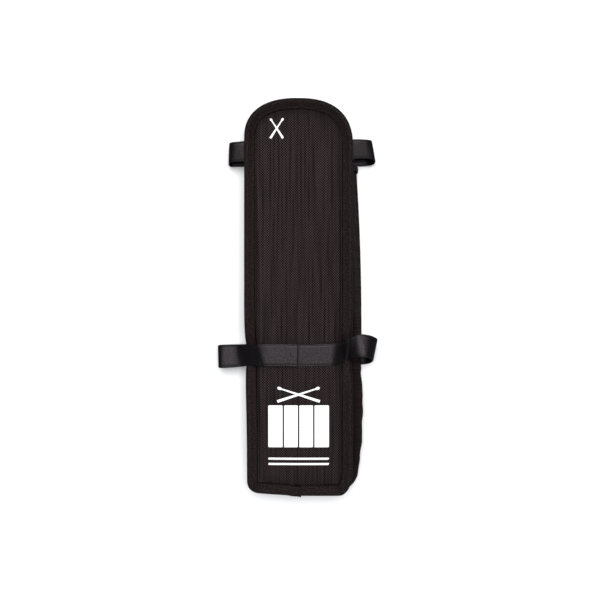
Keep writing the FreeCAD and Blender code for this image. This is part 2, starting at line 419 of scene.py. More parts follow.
def skin_height(x, y, inset):
    """Height of the panel's cloth, puffed up by the foam inside the tape. It stands up steeply
    beside the tape low down on both sides, and rolls over more softly elsewhere. The groove is
    the seam beside the tape."""
    under_tape = edge_middle + tape_top(min(inset, tape_face)) - tape
    steep_left = ramp(-x, 20, 25) * ramp(-y, -20, 60)
    steep_right = ramp(x, 20, 25) * ramp(-y, 80, 30)
    reach = (6.4 - 3.6 * steep_left - 3.8 * steep_right) * mm
    swell = 1 - math.exp(-max(inset - tape_face + 0.3 * mm, 0) / reach)
    wave = 0.35 * mm * ripple(x, y, 60, 3.0) + 0.14 * mm * ripple(x, y, 17, 8.0)
    flutes = 0.12 * mm * ripple(x, y * 0.12, 6, 11.0)
    foot_crease = 0.8 * mm * hump(x, 4.5, 2.2) * ramp(-y, 186, 14)
    groove = (1.4 + 2.2 * steep_left) * mm * bell((inset - tape_face - 0.4 * mm) / (0.9 * mm))
    groove *= 1 - 0.9 * ramp(y, 110, 50)
    drop = crown_drop(y, inset) * (1 - swell)
    return under_tape + (puff + wave + flutes - foot_crease) * swell - groove - drop


# ---------- materials ----------

class Nodes:
    """Short names for building a material's node tree."""

    def __init__(self, name, roughness, sheen=0.0, sheen_tint=(1, 1, 1), specular=0.4,
                 specular_tint=(1, 1, 1)):
        self.material = bpy.data.materials.new(name)
        self.material.use_nodes = True
        self.tree = self.material.node_tree
        self.surface = self.tree.nodes["Principled BSDF"]
        self.set("Roughness", roughness)
        self.set("Sheen Weight", sheen)
        self.set("Sheen Tint", (*sheen_tint, 1))
        self.set("Sheen Roughness", 0.4)
        self.set("Specular IOR Level", specular)
        self.set("Specular Tint", (*specular_tint, 1))

    def set(self, socket, value):
        """A number, a colour or another node's output goes into a socket of the surface."""
        self.plug(self.surface.inputs[socket], value)

    def plug(self, socket, value):
        if isinstance(value, bpy.types.NodeSocket):
            self.tree.links.new(value, socket)
        else:
            socket.default_value = value

    def math(self, operation, a, b=0.0, c=0.0, clamp=False):
        node = self.tree.nodes.new("ShaderNodeMath")
        node.operation = operation
        node.use_clamp = clamp
        for socket, value in zip(node.inputs, (a, b, c)):
            self.plug(socket, value)
        return node.outputs[0]

    def mix(self, share, a, b):
        node = self.tree.nodes.new("ShaderNodeMix")
        node.data_type = "RGBA"
        self.plug(node.inputs["Factor"], share)
        self.plug(node.inputs["A"], a if isinstance(a, bpy.types.NodeSocket) else (*a, 1))
        self.plug(node.inputs["B"], b if isinstance(b, bpy.types.NodeSocket) else (*b, 1))
        return node.outputs["Result"]

    def tones(self, share, color, dark, bright):
        """From dark to bright times a colour."""
        return self.mix(share, shade(color, dark), shade(color, bright))

    def times(self, a, b, clamp=False):
        return self.math("MULTIPLY", a, b, clamp=clamp)

    def fit(self, value, factor, shift, clamp=False):
        """value times factor, plus shift."""
        return self.math("MULTIPLY_ADD", value, factor, shift, clamp)

    def size_of(self, value):
        return self.math("ABSOLUTE", value)

    def blend_values(self, share, a, b):
        """share of b and the rest of a."""
        return self.math("ADD", self.times(b, share),
                         self.times(a, self.math("SUBTRACT", 1.0, share)))

    def uv(self):
        """The two directions along the cloth, in metres."""
        source = self.tree.nodes.new("ShaderNodeUVMap")
        source.uv_map = "UVMap"
        parts = self.tree.nodes.new("ShaderNodeSeparateXYZ")
        self.tree.links.new(source.outputs[0], parts.inputs[0])
        return source.outputs[0], parts.outputs[0], parts.outputs[1]

    def noise(self, vector, size, detail=3.0, rough=0.55):
        node = self.tree.nodes.new("ShaderNodeTexNoise")
        node.inputs["Scale"].default_value = 1 / size
        node.inputs["Detail"].default_value = detail
        node.inputs["Roughness"].default_value = rough
        self.plug(node.inputs["Vector"], vector)
        return node.outputs[0]

    def streaks(self, u, v, width, length):
        """Noise drawn out along v."""
        joined = self.tree.nodes.new("ShaderNodeCombineXYZ")
        self.plug(joined.inputs[0], self.math("DIVIDE", u, width))
        self.plug(joined.inputs[1], self.math("DIVIDE", v, length))
        return self.noise(joined.outputs[0], 1.0, 2.0)

    def wave(self, along, size):
        """A sine of the given full wavelength."""
        return self.math("SINE", self.times(along, 2 * math.pi / size))

    def bump(self, height, distance):
        node = self.tree.nodes.new("ShaderNodeBump")
        node.inputs["Distance"].default_value = distance
        self.plug(node.inputs["Height"], height)
        self.set("Normal", node.outputs[0])


def shade(color, factor):
    """A colour made darker or brighter."""
    return tuple(c * factor for c in color)


def basket_weave(name, color, cell, contrast=0.5, depth=0.25 * mm, wear=0.35, gloss=0.5, sheen=0.02,
                 seam_shade_level=1.0, far_shade_level=1.0, far=1.0):
    """Coarse nylon: pairs of yarns that cross over and under in a checker. The yarns that run
    up the bag catch more light than those that cross them; that light, and the shade in the gaps
    between the yarns, are painted into the cloth's colour. Painted shade can also make the cloth
    rise from its seam level where v is 0 to its far level at far."""
    n = Nodes(name, 0.5, sheen=sheen, sheen_tint=(1.0, 0.85, 0.88), specular=gloss,
              specular_tint=(1.0, 0.82, 0.85))
    vector, u, v = n.uv()
    across, along = n.wave(u, 2 * cell), n.wave(v, 2 * cell)
    warp_up = n.fit(n.times(across, along), 4.0, 0.5, clamp=True)
    yarn_u = n.size_of(n.wave(u, cell))
    yarn_v = n.size_of(n.wave(v, cell))
    warp = n.times(yarn_u, n.math("POWER", n.size_of(along), 0.5))
    weft = n.times(yarn_v, n.math("POWER", n.size_of(across), 0.5))
    height = n.blend_values(warp_up, weft, warp)
    # Painted light and shade: the yarn crowns are lighter and the gaps between them darker, and the
    # crossing yarns are darker, by contrast, than those that run up the bag.
    lit = n.blend_values(warp_up, n.times(weft, 1 - contrast), warp)
    uneven = n.noise(vector, 38 * mm, 4.0)
    fuzz = n.noise(vector, 0.9 * mm, 2.0, 0.7)
    level = n.fit(n.math("SUBTRACT", fuzz, 0.5), 0.4, lit, clamp=True)
    drawn = n.streaks(u, v, 2.4 * mm, 90 * mm)
    columns = n.times(n.wave(u, 4.3 * mm), 0.16)
    drawn = n.math("ADD", n.fit(drawn, 2.5, -0.2), columns)
    level = n.times(level, drawn, clamp=True)
    # Painted shade and light: the brightness scales from the seam level where v is 0 to the far level
    # at far, and stays there beyond.
    if seam_shade_level != far_shade_level:
        painted_seam_shade = n.fit(v, (far_shade_level - seam_shade_level) / far, seam_shade_level)
        level = n.times(level, n.math("MINIMUM", painted_seam_shade, far_shade_level))
    worn = n.fit(uneven, 1.6, -0.55, clamp=True)
    bright = n.tones(n.times(worn, wear), color, 2.9, 4.0)
    n.set("Base Color", n.mix(level, shade(color, 0.02), bright))
    n.set("Specular IOR Level", n.fit(level, gloss * 1.7, gloss * 0.02))
    n.set("Roughness", n.fit(fuzz, 0.25, 0.4))
    n.bump(height, depth)
    return n.material


def ribbed_tape(name, color, rib, depth=0.12 * mm):
    """Flat binding tape: fine ribs across its width and a slightly fuzzy face. v starts at its
    sewn edge, which lies pressed down; painted shade darkens the colour there."""
    n = Nodes(name, 0.6, sheen=0.035, sheen_tint=(1.0, 0.86, 0.86), specular=0.14,
              specular_tint=(1.0, 0.85, 0.84))
    vector, u, v = n.uv()
    ribs = n.fit(n.wave(u, rib), 0.5, 0.5)
    grain = n.fit(n.wave(v, rib * 1.3), 0.25, 0.25)
    fuzz = n.noise(vector, 1.7 * mm, 3.0, 0.65)
    patches = n.noise(vector, 16 * mm, 3.0)
    tufts = n.fit(fuzz, 3.4, -1.2, clamp=True)
    level = n.fit(ribs, 0.3, n.times(tufts, 0.7), clamp=True)
    base = n.tones(level, color, 0.15, 2.0)
    base = n.mix(n.times(patches, 0.4), base, shade(color, 1.5))
    # Painted shade along the sewn edge: within about a millimetre of it the colour darkens to a tenth,
    # and the sheen and specular fade out.
    clear = n.fit(v, 1 / (1.0 * mm), -0.3, clamp=True)
    n.set("Base Color", n.mix(clear, shade(color, 0.1), base))
    n.set("Sheen Weight", n.times(clear, 0.035))
    n.set("Specular IOR Level", n.times(clear, n.times(tufts, 0.26)))
    n.bump(n.math("ADD", n.math("ADD", ribs, grain), fuzz), depth)
    return n.material


def strap_webbing(name, color, depth=0.09 * mm, gloss=0.22):
    """Nylon webbing: close columns along its length, each a run of small chevrons, and a
    plain selvedge down both sides. u runs across the strap from its middle, v along it."""
    n = Nodes(name, 0.4, specular=gloss, specular_tint=(1.0, 0.88, 0.94))
    vector, u, v = n.uv()
    column = 1.55 * mm
    side = n.size_of(n.wave(u, 2 * column))
    slant = n.fit(side, 0.45 * mm, v)
    chevron = n.fit(n.wave(slant, 1.25 * mm), 0.5, 0.5)
    height = n.times(n.math("POWER", side, 0.6), n.fit(chevron, 0.6, 0.4))
    out = n.size_of(u)
    edge = webbing_width / 2 - 2.0 * mm
    groove = n.math("COMPARE", out, edge, 0.22 * mm)
    fuzz = n.noise(vector, 0.7 * mm, 2.0, 0.7)
    patches = n.noise(vector, 22 * mm, 3.0)
    level = n.math("ADD", n.times(height, 0.4), n.times(fuzz, 0.55), clamp=True)
    base = n.tones(level, color, 0.62, 1.4)
    base = n.mix(n.times(patches, 0.3), base, shade(color, 1.45))
    n.set("Base Color", n.mix(n.times(groove, 0.55), base, shade(color, 0.35)))
    grain = n.fit(n.noise(vector, 1.5 * mm, 3.0, 0.65), 2.6, -0.8, clamp=True)
    n.set("Specular IOR Level", n.fit(grain, gloss * 1.4, gloss * 0.3))
    n.set("Roughness", n.fit(fuzz, 0.25, 0.28))
    n.bump(n.math("SUBTRACT", height, groove), depth)
    return n.material


def fuzzy(name, color, size, depth, sheen=0.6):
    """The tangled face of loop tape, or the dense stubble of hook tape."""
    n = Nodes(name, 0.9, sheen=sheen, specular=0.15)
    vector = n.uv()[0]
    tufts = n.noise(vector, size, 5.0, 0.75)
    patches = n.noise(vector, size * 9, 2.0)
    n.set("Base Color", n.tones(tufts, color, 0.45, 1.7))
    n.set("Roughness", n.fit(patches, 0.2, 0.75))
    n.bump(tufts, depth)
    return n.material


def cut_foam(name, color):
    """The fine cells of closed-cell foam."""
    n = Nodes(name, 0.85, specular=0.2)
    vector = n.uv()[0]
    cells = n.noise(vector, 0.6 * mm, 4.0, 0.6)
    n.set("Base Color", n.tones(cells, color, 0.7, 1.3))
    n.bump(cells, 0.2 * mm)
    return n.material


def sewing_thread(name, color):
    """Two plies twisted round each other. v runs along the thread."""
    n = Nodes(name, 0.6, specular=0.08)
    _, u, v = n.uv()
    twist = n.fit(n.wave(n.math("ADD", u, v), 0.7 * mm), 0.5, 0.5)
    n.set("Base Color", n.tones(twist, color, 0.55, 1.5))
    n.bump(twist, 0.1 * mm)
    return n.material


def screen_print(name, color, cell):
    """White ink that fills most of the weave and is thin over the deepest gaps."""
    n = Nodes(name, 0.55, specular=0.3)
    vector, u, v = n.uv()
    cross = n.times(n.wave(u, 2 * cell), n.wave(v, 2 * cell))
    height = n.size_of(cross)
    speck = n.noise(vector, 1.1 * mm, 4.0, 0.7)
    thin = n.fit(speck, 6.0, -4.0, clamp=True)
    n.set("Base Color", n.mix(n.times(thin, 0.5), color, shade(color, 0.7)))
    n.set("Roughness", n.fit(speck, 0.25, 0.45))
    n.bump(height, 0.06 * mm)
    return n.material


weave_cell = 1.42 * mm
nylon = basket_weave("ballistic_nylon", (0.0145, 0.0097, 0.0105), weave_cell, contrast=0.93, gloss=0.3)
# The gusset gets painted shade at the seam under the front binding, rising to painted extra light 15 mm
# out.
side_nylon = basket_weave("gusset_nylon", (0.0098, 0.0064, 0.0064), 0.75 * mm, contrast=0.4,
                          depth=0.1 * mm, wear=0.2, gloss=0.035, sheen=0.014,
                          seam_shade_level=0.3, far_shade_level=1.5, far=15 * mm)
lining_cloth = basket_weave("lining_nylon", (0.0095, 0.0088, 0.0093), 0.5 * mm, contrast=0.3,
                            depth=0.08 * mm)
binding_cloth = ribbed_tape("binding_tape", (0.0050, 0.0030, 0.0030), 0.85 * mm)
strap_cloth = strap_webbing("strap_webbing", (0.0020, 0.0016, 0.0018))
hook_cloth = fuzzy("hook_tape", (0.006, 0.006, 0.0065), 0.5 * mm, 0.4 * mm, sheen=0.02)
loop_cloth = fuzzy("loop_tape", (0.010, 0.0095, 0.0105), 0.8 * mm, 0.5 * mm, sheen=0.15)
foam = cut_foam("closed_cell_foam", (0.04, 0.04, 0.044))
thread = sewing_thread("sewing_thread", (0.0050, 0.0040, 0.0042))
ink = screen_print("white_ink", (0.88, 0.88, 0.89), weave_cell)


# ---------- cloth simulation ----------

def simulate(obj, pinned, frames, stiffness, pressure=0.0, gravity=0.0, slack=0.0):
    """Runs Cloth on a mesh whose pinned vertices stay put, and moves its vertices by the result,
    each by no more than the cap."""
    cap = 1.6 * mm
    rest = points_of(obj)
    group = obj.vertex_groups.new(name="pinned")
    group.add([int(i) for i in pinned], 1.0, "REPLACE")
    modifier = obj.modifiers.new("Cloth", "CLOTH")
    settings = modifier.settings
    settings.quality = 6
    settings.mass = 0.25
    settings.tension_stiffness = settings.compression_stiffness = stiffness
    settings.shear_stiffness = stiffness / 2
    settings.bending_stiffness = 0.6
    settings.vertex_group_mass = "pinned"
    settings.shrink_min = -slack
    settings.use_pressure = pressure > 0
    settings.uniform_pressure_force = pressure
    settings.effector_weights.gravity = gravity
    modifier.collision_settings.use_collision = False
    modifier.collision_settings.use_self_collision = False
    modifier.point_cache.frame_start = 1
    modifier.point_cache.frame_end = frames
    scene = bpy.context.scene
    for number in range(1, frames + 1):
        scene.frame_set(number)
    graph = bpy.context.evaluated_depsgraph_get()
    shift = points_of(obj.evaluated_get(graph)) - rest
    obj.modifiers.remove(modifier)
    obj.vertex_groups.remove(group)
    scene.frame_set(1)
    far = np.linalg.norm(shift, axis=1, keepdims=True)
    shift *= np.minimum(1.0, cap / np.maximum(far, 1e-9))
    put_points(obj, rest + shift)


# ---------- padded panels ----------

def seam_rings():
    """Close rows of points on both sides of the tape's inner edge. Points that come nearer to
    another stretch of the edge are left out."""
    rows = []
    for inset in (12.1 * mm, 12.9 * mm, 13.6 * mm, 14.4 * mm, 15.6 * mm):
        for p in edge_loop + edge_normals * inset:
            if abs(inset_of(*p) - inset) < 0.25 * mm:
                rows.append(tuple(p))
    return rows


fill_inside, weld = 1, 1e-7  # for delaunay_2d_cdt: its kind of output, and what counts as one point


def fill_outline(boundary, step, rows=()):
    """Triangles that fill a closed outline evenly: (points, faces)."""
    lows, highs = boundary.min(0), boundary.max(0)
    tree = tree_through(boundary)
    normals = inward(boundary)
    inside = list(rows)
    far_off = (9, 9)
    taken = tree_through([*inside, far_off])
    row_share = 0.866  # so that three neighbours make a triangle of near-equal sides
    for row in range(int((highs[1] - lows[1]) / (step * row_share)) + 1):
        y = lows[1] + row * step * row_share
        for column in range(int((highs[0] - lows[0]) / step) + 2):
            x = lows[0] + (column + 0.5 * (row % 2)) * step
            found, i, _ = tree.find((x, y, 0))
            side = (x - found.x) * normals[i][0] + (y - found.y) * normals[i][1]
            if side > 0.6 * step and taken.find((x, y, 0))[2] > 0.5 * step:
                inside.append((x, y))
    points = [Vector(p) for p in [*boundary, *inside]]
    ring = list(range(len(boundary)))
    verts, _, faces = geometry.delaunay_2d_cdt(points, [], [ring], fill_inside, weld)[:3]
    return np.array([tuple(v) for v in verts]), [tuple(f) for f in faces]


def padded_body(name, boundary, top_of, bottom_of, step, rows=()):
    """A closed foam pad: a top and a bottom of the same triangles, joined round the rim. It
    comes with the count of points in its top, and the top's faces."""
    flat, faces = fill_outline(boundary, step, rows)
    tops = [(x, y, top_of(x, y)) for x, y in flat]
    bottoms = [(x, y, bottom_of(x, y)) for x, y in flat]
    rim = list(range(len(boundary)))
    around = block_faces(faces, len(flat), rim)
    return new_object(name, tops + bottoms, around, foam, [*flat, *flat]), len(flat), faces


skin_edge = edge_loop[::2] + edge_normals[::2] * skin_start
lining_z = panel_low.z + tape + 0.1 * mm
front_foam, front_count, front_faces = padded_body(
    "front_foam", skin_edge,
    lambda x, y: skin_height(x, y, inset_of(x, y)) - cloth,
    lambda x, y: lining_z + cloth,
    mesh_step, seam_rings())
held = [*range(len(skin_edge)), *range(front_count, 2 * front_count)]
simulate(front_foam, held, 14, stiffness=9.0, pressure=1.2)
bend(front_foam)
skin_points = points_of(front_foam)[:front_count]
skin_points[:, 2] += cloth
front_skin = new_object("front_skin", skin_points, front_faces, nylon, skin_points[:, :2])
thicken(front_skin, sheet_thickness, -1)
seat(front_foam, "bag", "closed_cell_foam", "front_panel_foam")
seat(front_skin, "bag", "ballistic_nylon", "front_panel_skin")

lining_flat, lining_faces = fill_outline(skin_edge, 5 * mm)
lining_points = [(x, y, lining_z) for x, y in lining_flat]
front_lining = new_object("front_lining", lining_points, lining_faces, lining_cloth, lining_flat)
bend(front_lining)
thicken(front_lining, sheet_thickness, 1)
seat(front_lining, "bag", "lining_nylon", "front_panel_lining")


# ---------- bound edges ----------

def tape_section(depth, top_of, bottom_of, steps=12):
    """Points (inset, height) round the cross-section of a tape folded over an edge, from its
    upper inner edge round the outside and back along the inside."""
    insets = depth * (1 - np.cos(np.linspace(0, math.pi / 2, steps)))
    outer = np.array([(d, top_of(d)) for d in insets[::-1]] + [(d, bottom_of(d)) for d in insets[1:]])
    inner = outer + turned_left(np.gradient(outer, axis=0)) * tape
    return np.vstack([outer, inner[::-1]])


def sweep(name, path, normals, section, height_of, lift):
    """Tape with a section of (inset, height) points, carried along a flat path. lift says how far
    it stands off what it covers at each point of the path."""
    across = run_along(section[:len(section) // 2])
    around = [*across, *across[::-1]]
    verts, uvs = [], []
    for place, normal, off, run in zip(path, normals, lift, run_along(path)):
        for (inset, height), v in zip(section, around):
            x, y = place + normal * (inset - off * 0.5)
            verts.append((x, y, height + height_of(x, y) + off * (1 if height > 0 else -1)))
            uvs.append((run, v))
    return new_object(name, verts, tube_faces(len(path), len(section)), binding_cloth, uvs)


def front_edge_binding():
    """Tape folded over the front panel's whole edge, its ends lapped at the foot."""
    lap = 7.0 * mm
    lead = int(lap / edge_step)
    path = np.vstack([edge_loop, edge_loop[:lead + 1]])
    normals = np.vstack([edge_normals, edge_normals[:lead + 1]])
    count = len(path)
    lift = np.array([1.2 * tape * smooth((i - (count - 3 * lead)) / lead) for i in range(count)])
    lift[-2:] += (0.5 * mm, 1.0 * mm)
    section = tape_section(tape_face, tape_top, lambda d: -bead(d, edge_half, 2.6 * mm))

    def height(x, y):
        d = inset_of(x, y)
        pucker = 0.16 * mm * ripple(x, y, 6, 5.0) + 0.3 * mm * ripple(x, y, 28, 9.0)
        return edge_middle + pucker * ramp(d, 0, 3) - crown_drop(y, d)

    obj = sweep("front_binding_tape", path, normals, section, height, lift)
    bend(obj)
    return subdivide(obj)


seat(front_edge_binding(), "bag", "binding_tape", "front_binding")


# ---------- pocket ----------

def circle_through(a, b, c):
    """Centre and radius of the circle through three points."""
    ax, ay = a
    bx, by = b
    cx, cy = c
    d = 2 * (ax * (by - cy) + bx * (cy - ay) + cx * (ay - by))
    sa, sb, sc = ax * ax + ay * ay, bx * bx + by * by, cx * cx + cy * cy
    ux = (sa * (by - cy) + sb * (cy - ay) + sc * (ay - by)) / d
    uy = (sa * (cx - bx) + sb * (ax - cx) + sc * (bx - ax)) / d
    return ux, uy, math.hypot(ax - ux, ay - uy)


seam_low, seam_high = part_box("back_seam_binding")
pocket_corner = 14 * mm
belly_y = -60 * mm
back_mouth_right = seam_high.x - 8.0 * mm
back_foot_right = seam_high.x - 6.0 * mm


def pocket_path(step):
    """The back panel's edge from the mouth's left end down, round the foot and up the right."""
    left, foot, r = seam_low.x, seam_low.y, pocket_corner
    points = [(left, y) for y in np.linspace(mouth_y, foot + r, 40, endpoint=False)]
    points += corner((left + r, foot + r), (r, r), 2.0, 180)
    points += corner((back_foot_right - r, foot + r), (r, r), 2.0, 270)
    ux, uy, radius = circle_through((back_mouth_right, mouth_y + 30 * mm), (seam_high.x, belly_y),
                                    (back_foot_right, foot + r))
    for y in np.linspace(foot + r, mouth_y, 60):
        points.append((ux + math.sqrt(radius**2 - (y - uy) ** 2), y))
    return resample(points, step)


def front_seam_path(step):
    """Where the gusset is sewn under the front panel's edge, the same way round."""
    inset = 3.8 * mm
    left, right, foot = panel_low.x + inset, panel_high.x - inset, seam_low.y + 1.8 * mm
    foot_left, foot_right = (26 * mm, 14 * mm), (14 * mm, 24 * mm)
    points = [(left_edge(y, inset), y)
              for y in np.linspace(mouth_y, foot + 15.8 * mm, 40, endpoint=False)]
    points += corner((left + foot_lean + foot_left[0], foot + foot_left[1]), foot_left, 2.6, 180)
    points += corner((right - foot_right[0], foot + foot_right[1]), foot_right, 2.0, 270)
    points += [(right, y) for y in np.linspace(foot + foot_right[1], mouth_y, 40)]
    return resample(points, step)


pocket_points, pocket_run = pocket_path(2 * mm)
pocket_outward = -inward(pocket_points, closed=False)
seam_points, seam_run = front_seam_path(2 * mm)


def side_xs(path, ys, right):
    """Where one side of a path stands at each y."""
    half = len(path) // 2
    p = path[half:] if right else path[:half][::-1]
    return np.stack([np.interp(ys, p[:, 1], p[:, 0]), ys], 1)


def gusset_stations():
    """Front seam points, back seam points and outward directions, one of each a station."""
    foot_y = -196 * mm
    ys = np.linspace(mouth_y, foot_y, 150)
    rows = []
    for path in (seam_points, pocket_points):
        foot, foot_run = resample([p for p in path if p[1] < foot_y], 1 * mm)
        around = points_at(np.linspace(0, 1, 80)[1:-1] * foot_run[-1], foot_run, foot)
        rows.append(np.vstack([side_xs(path, ys, False), around, side_xs(path, ys[::-1], True)]))
    front, back = rows
    return front, back, -inward((front + back) / 2, closed=False)


def gusset_top(x, y):
    """Height at which the gusset goes up into the front panel's binding."""
    return edge_middle - 1.4 * mm + settle(x, y)


def gusset_swell(y, facing):
    """How far the gusset bulges at y. facing is 1 on the bag's right side and -1 on its left."""
    right, left = smooth(facing * 2), smooth(-facing * 2)
    belly = 2.1 * hump(y - belly_y, 0, 95) + 3.6 * hump(y, -128, 72) + 3.4 * hump(y, -140, 85)
    belly += 4.0 * hump(y, -180, 32)
    gathered = 1 - 0.7 * hump(y - lower_y, 0, 17)
    return (0.9 + right * belly - 1.6 * left) * mm * gathered


def make_gusset():
    """One strip of limp cloth round the pocket: it bulges on the right, tucks in on the left,
    and takes folds where the strap gathers it."""
    front, back, outward = gusset_stations()
    columns = 17
    count = len(front)
    run = run_along((front + back) / 2)
    verts, uvs = [], []
    for i in range(count):
        fx = front[i, 0] + pinch(front[i, 0], front[i, 1])
        f = Vector((fx, front[i, 1], gusset_top(*front[i])))
        b = Vector((*back[i], lining_low.z + 0.4 * mm + floor_sag(back[i, 1])))
        out = Vector((*outward[i], 0))
        swell = gusset_swell(back[i, 1], out.x)
        at_strap = hump(back[i, 1] - lower_y, 0, 17)
        for j in range(columns):
            t = j / (columns - 1)
            arch = math.sin(math.pi * t)
            folds = 1.3 * ripple(run[i], t * 30 * mm, 24, 2.5) * (1 + 0.9 * at_strap)
            folds += 0.8 * ripple(run[i] + t * 18 * mm, t * 20 * mm, 11, 6.5)
            tuck = 1.1 * math.sin(2 * math.pi * t + 3 * ripple(run[i], 0, 60, 1.0))
            shift = arch * (swell + folds * mm) + arch * tuck * mm
            p = f.lerp(b, t) + out * shift
            p.z += 0.4 * mm * arch * ripple(run[i], t * 20 * mm, 18, 4.4)
            verts.append(p)
            uvs.append((run[i], t * 24 * mm))
    obj = new_object("gusset_cloth", verts, grid_faces(count, columns), side_nylon, uvs)
    rim = [i * columns + j for i in range(count) for j in (0, columns - 1)]
    rim += list(range(columns)) + list(range((count - 1) * columns, count * columns))
    simulate(obj, rim, 16, stiffness=6.0, gravity=0.6, slack=0.05)
    raise_above_floor(obj, 0.5 * mm)
    return thicken(subdivide(obj), 0.5 * mm, -1)


gusset_cloth = seat(make_gusset(), "bag", "ballistic_nylon", "gusset")


def back_outline(inset):
    """The back panel's closed outline, brought in by inset and straight across its mouth."""
    p = pocket_points - pocket_outward * inset
    p = p[p[:, 1] < mouth_y - 0.5 * mm]
    top = mouth_y - 0.3 * mm
    across = np.linspace(p[-1, 0], p[0, 0], 60)
    loop = np.vstack([p, np.column_stack([across, np.full(60, top)]), p[:1]])
    return resample(loop, 4 * mm)[0][:-1]


back_edge = back_outline(1.2 * mm)
back_foam = padded_body(
    "back_foam", back_edge,
    lambda x, y: lining_low.z - 0.05 * mm,
    lambda x, y: back_high.z + 0.05 * mm + 0.35 * mm * ripple(x, y, 30, 1.5),
    5 * mm)[0]


def back_sheet(name, low, material, seed):
    """One layer of cloth of the back panel, with a little unevenness."""
    flat, faces = fill_outline(back_edge, 4 * mm)
    points = [(x, y, low + 0.12 * mm * ripple(x, y, 20, seed)) for x, y in flat]
    return place_back(thicken(new_object(name, points, faces, material, flat), sheet_thickness, 1))


seat(place_back(back_foam), "bag", "closed_cell_foam", "back_panel_foam")
back_skin = back_sheet("back_skin", back_low.z + 0.1 * mm, nylon, 4.0)
back_lining = back_sheet("back_lining", lining_low.z + 0.1 * mm, lining_cloth, 6.0)
seat(back_skin, "bag", "ballistic_nylon", "back_panel_skin")
seat(back_lining, "bag", "lining_nylon", "back_panel_lining")


def back_edge_binding():
    """Tape folded over the back panel's sides and foot."""
    half = (seam_high.z - seam_low.z) / 2
    middle = (seam_high.z + seam_low.z) / 2
    section = tape_section(8 * mm, lambda d: bead(d, half, 2 * mm), lambda d: -bead(d, half, 2 * mm), 9)
    keep = pocket_points[:, 1] < mouth_y - 6 * mm
    path, normals = pocket_points[keep], -pocket_outward[keep]
    obj = sweep("back_binding_tape", path, normals, section,
                lambda x, y: middle + 0.15 * mm * ripple(x, y, 9, 2.0), np.zeros(len(path)))
    place_back(obj)
    raise_above_floor(obj, 0.2 * mm)
    return subdivide(obj)


seat(back_edge_binding(), "bag", "binding_tape", "back_seam_binding")


def mouth_edge_binding():
    """Tape over the pocket's top edge: down the left gusset, across the back and up the right."""
    front, back = gusset_stations()[:2]
    left_f, left_b = front[0], back[0]
    right_f, right_b = front[-1], back[-1]
    z_top = gusset_top(0, mouth_y) - 0.4 * mm
    z_low = (back_low.z + lining_high.z) / 2 + floor_sag(mouth_y)
    half = 2.7 * mm
    corners = [
        (left_f[0] + 0.6 * mm, z_top), (left_f[0] + 1.0 * mm, z_top - 6 * mm),
        (left_b[0] - 0.6 * mm, z_low + 6 * mm), (left_b[0] + 2.0 * mm, z_low + 0.8 * mm),
        (left_b[0] + 12 * mm, z_low),
    ]
    corners += [(x, z_low) for x in np.linspace(left_b[0] + 25 * mm, right_b[0] - 25 * mm, 8)]
    corners += [
        (right_b[0] - 12 * mm, z_low), (right_b[0] - 2.0 * mm, z_low + 0.8 * mm),
        (right_b[0] + 0.2 * mm, z_low + 6 * mm), (right_f[0] + 0.2 * mm, z_top - 6 * mm),
        (right_f[0] - 1.0 * mm, z_top),
    ]
    line, at = spline(corners, 2 * mm)
    normal = turned_left(np.gradient(line, axis=0))
    flat = smooth((np.abs(line[:, 1] - z_low) - 1 * mm) / (4 * mm))
    section = [(d * mm, side) for d, side in (
        (8, 1), (5, 1), (2, 1), (0.6, 0.8), (0, 0), (0.6, -0.8), (2, -1), (5, -1), (8, -1))]
    verts, uvs = [], []
    for i, (x, z) in enumerate(line):
        reach = half * (1 - 0.55 * flat[i])
        for ring, offset in ((section, 0.0), (section[::-1], -tape)):
            for d, side in ring:
                out = (reach + offset) * side
                y = mouth_y + 0.8 * mm - d + (offset if abs(side) < 0.5 else 0)
                y += 1.8 * mm * ramp(x, 40, 20)
                y += 0.3 * mm * ripple(at[i], 0, 14, 3.3)
                verts.append((x + normal[i, 0] * out, y, z + normal[i, 1] * out))
                uvs.append((at[i], 8 * mm - d))
    faces = tube_faces(len(line), 2 * len(section))
    obj = new_object("mouth_binding_tape", verts, faces, binding_cloth, uvs)
    raise_above_floor(obj, 0.2 * mm)
    return subdivide(obj)


seat(mouth_edge_binding(), "bag", "binding_tape", "mouth_binding")


# ---------- webbing ----------

def strap_section(half, thickness):
    """Points (across, out) round the section of a strap: round edges and a groove beside each
    selvedge."""
    across = [0.995, 0.97, 0.93, 0.865, 0.835, 0.805, 0.7, 0.5, 0.25, 0.0]
    rise = [0.45, 0.8, 1.0, 1.0, 0.84, 1.0, 1.0, 1.0, 1.0, 1.0]
    right = [(a * half, r * thickness / 2) for a, r in zip(across, rise)]
    top = right + [(-a, r) for a, r in right[-2::-1]]
    return [(half, 0.0)] + top + [(-half, 0.0)] + [(-a, -r) for a, r in top]


